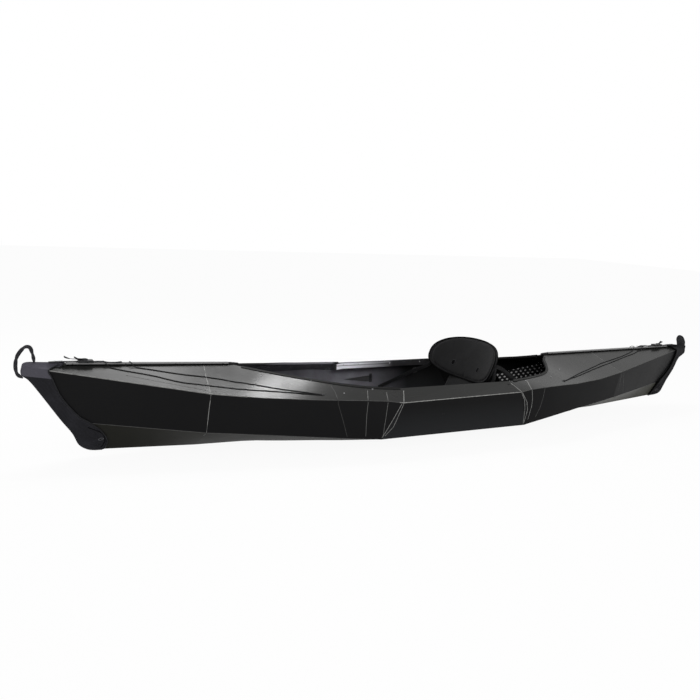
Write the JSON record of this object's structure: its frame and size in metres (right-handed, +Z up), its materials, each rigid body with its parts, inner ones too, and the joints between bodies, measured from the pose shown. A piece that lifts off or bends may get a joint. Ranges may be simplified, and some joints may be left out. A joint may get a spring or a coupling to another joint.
{
  "type": "folding kayak",
  "caption": "Folding kayak with a creased sheet hull, open cockpit, cloth end caps with grab handles, seam channels, deck cords, floorboard and seat with a folding back",
  "frame": {"origin": "on the floor under the middle of the boat, at the centre of the flat of the bottom", "axes": "+X from the bow towards the stern, +Y towards starboard, +Z up"},
  "size_m": [3.7247, 0.74, 0.4638],
  "materials": {
    "side_sheet": "satin black polypropylene sheet",
    "deck_sheet": "satin black sheet, light falls on it",
    "bottom_sheet": "satin black sheet",
    "cap_cloth": "dark blue-grey coated cloth",
    "webbing": "black woven webbing",
    "channel_plastic": "black extruded plastic",
    "trim_plastic": "black edge trim with a grey top",
    "bar_metal": "clear anodised",
    "board_sheet": "black sheet with a pale dot pattern",
    "seat_cloth": "charcoal cloth with black piping",
    "buckle_plastic": "black moulded plastic",
    "cord_cloth": "black braided elastic cord"
  },
  "bodies": {
    "hull": {"mid_bottom": "bottom_sheet", "bow_bottom_port": "bottom_sheet", "bow_side_port": "side_sheet", "bow_deck_port": "deck_sheet", "front_bottom_port": "bottom_sheet", "front_side_port": "side_sheet", "front_deck_port": "deck_sheet", "mid_side_port": "side_sheet", "mid_deck_port": "deck_sheet", "rear_bottom_port": "bottom_sheet", "rear_side_port": "side_sheet", "rear_deck_port": "deck_sheet", "stern_bottom_port": "bottom_sheet", "stern_side_port": "side_sheet", "stern_deck_port": "deck_sheet", "bow_bottom_starboard": "bottom_sheet", "bow_side_starboard": "side_sheet", "bow_deck_starboard": "deck_sheet", "front_bottom_starboard": "bottom_sheet", "front_side_starboard": "side_sheet", "front_deck_starboard": "deck_sheet", "mid_side_starboard": "side_sheet", "mid_deck_starboard": "deck_sheet", "rear_bottom_starboard": "bottom_sheet", "rear_side_starboard": "side_sheet", "rear_deck_starboard": "deck_sheet", "stern_bottom_starboard": "bottom_sheet", "stern_side_starboard": "side_sheet", "stern_deck_starboard": "deck_sheet", "bow_cap": "cap_cloth", "stern_cap": "cap_cloth", "front_trim_port": "trim_plastic", "front_trim_starboard": "trim_plastic", "rear_trim_port": "trim_plastic", "rear_trim_starboard": "trim_plastic", "rim_bar_port": "bar_metal", "rim_bar_starboard": "bar_metal", "floorboard": "board_sheet", "floorboard_wing_port": "board_sheet", "floorboard_wing_starboard": "board_sheet", "seat_pad": "seat_cloth", "bow_strap": "webbing", "bow_buckle": "buckle_plastic", "stern_strap": "webbing", "stern_buckle": "buckle_plastic", "front_bungee": "cord_cloth", "rear_bungee": "cord_cloth", "seat_strap_port": "webbing", "seat_strap_starboard": "webbing"},
    "front_channel": {"front_channel": "channel_plastic"},
    "rear_channel": {"rear_channel": "channel_plastic"},
    "bow_handle": {"bow_handle": "webbing"},
    "stern_handle": {"stern_handle": "webbing"},
    "bow_tongue": {"bow_buckle_tongue": "buckle_plastic", "bow_strap_tail": "webbing"},
    "stern_tongue": {"stern_buckle_tongue": "buckle_plastic", "stern_strap_tail": "webbing"},
    "seat_back": {"seat_back": "seat_cloth"},
    "foot_brace": {"foot_brace": "board_sheet"}
  },
  "joints": [
    {"name": "bow_handle_swing", "type": "hinge", "parent": "hull", "child": "bow_handle", "pos_m": [-1.83982, 0, 0.3362], "axis": [0.5069, 0, 0.862], "range_deg": [-60, 60]},
    {"name": "stern_handle_swing", "type": "hinge", "parent": "hull", "child": "stern_handle", "pos_m": [1.76916, 0, 0.35832], "axis": [0.9893, 0, -0.1462], "range_deg": [-45, 45]},
    {"name": "front_channel_slide", "type": "slide", "parent": "hull", "child": "front_channel", "axis": [0.9993, 0, -0.0383], "range_m": [0, 0.3]},
    {"name": "rear_channel_slide", "type": "slide", "parent": "hull", "child": "rear_channel", "axis": [-1, 0, -0.0099], "range_m": [0, 0.3]},
    {"name": "bow_tongue_slide", "type": "slide", "parent": "hull", "child": "bow_tongue", "axis": [0.9993, 0, -0.0383], "range_m": [0, 0.022]},
    {"name": "stern_tongue_slide", "type": "slide", "parent": "hull", "child": "stern_tongue", "axis": [-1, 0, -0.0099], "range_m": [0, 0.022]},
    {"name": "seat_back_fold", "type": "hinge", "parent": "hull", "child": "seat_back", "pos_m": [0.15, 0, 0.0419], "axis": [0, 1, 0], "range_deg": [-60, 0], "deforming": ["seat_strap_port", "seat_strap_starboard"]},
    {"name": "foot_brace_slide", "type": "slide", "parent": "hull", "child": "foot_brace", "axis": [1, 0, 0], "range_m": [0, 0.2]}
  ]
}
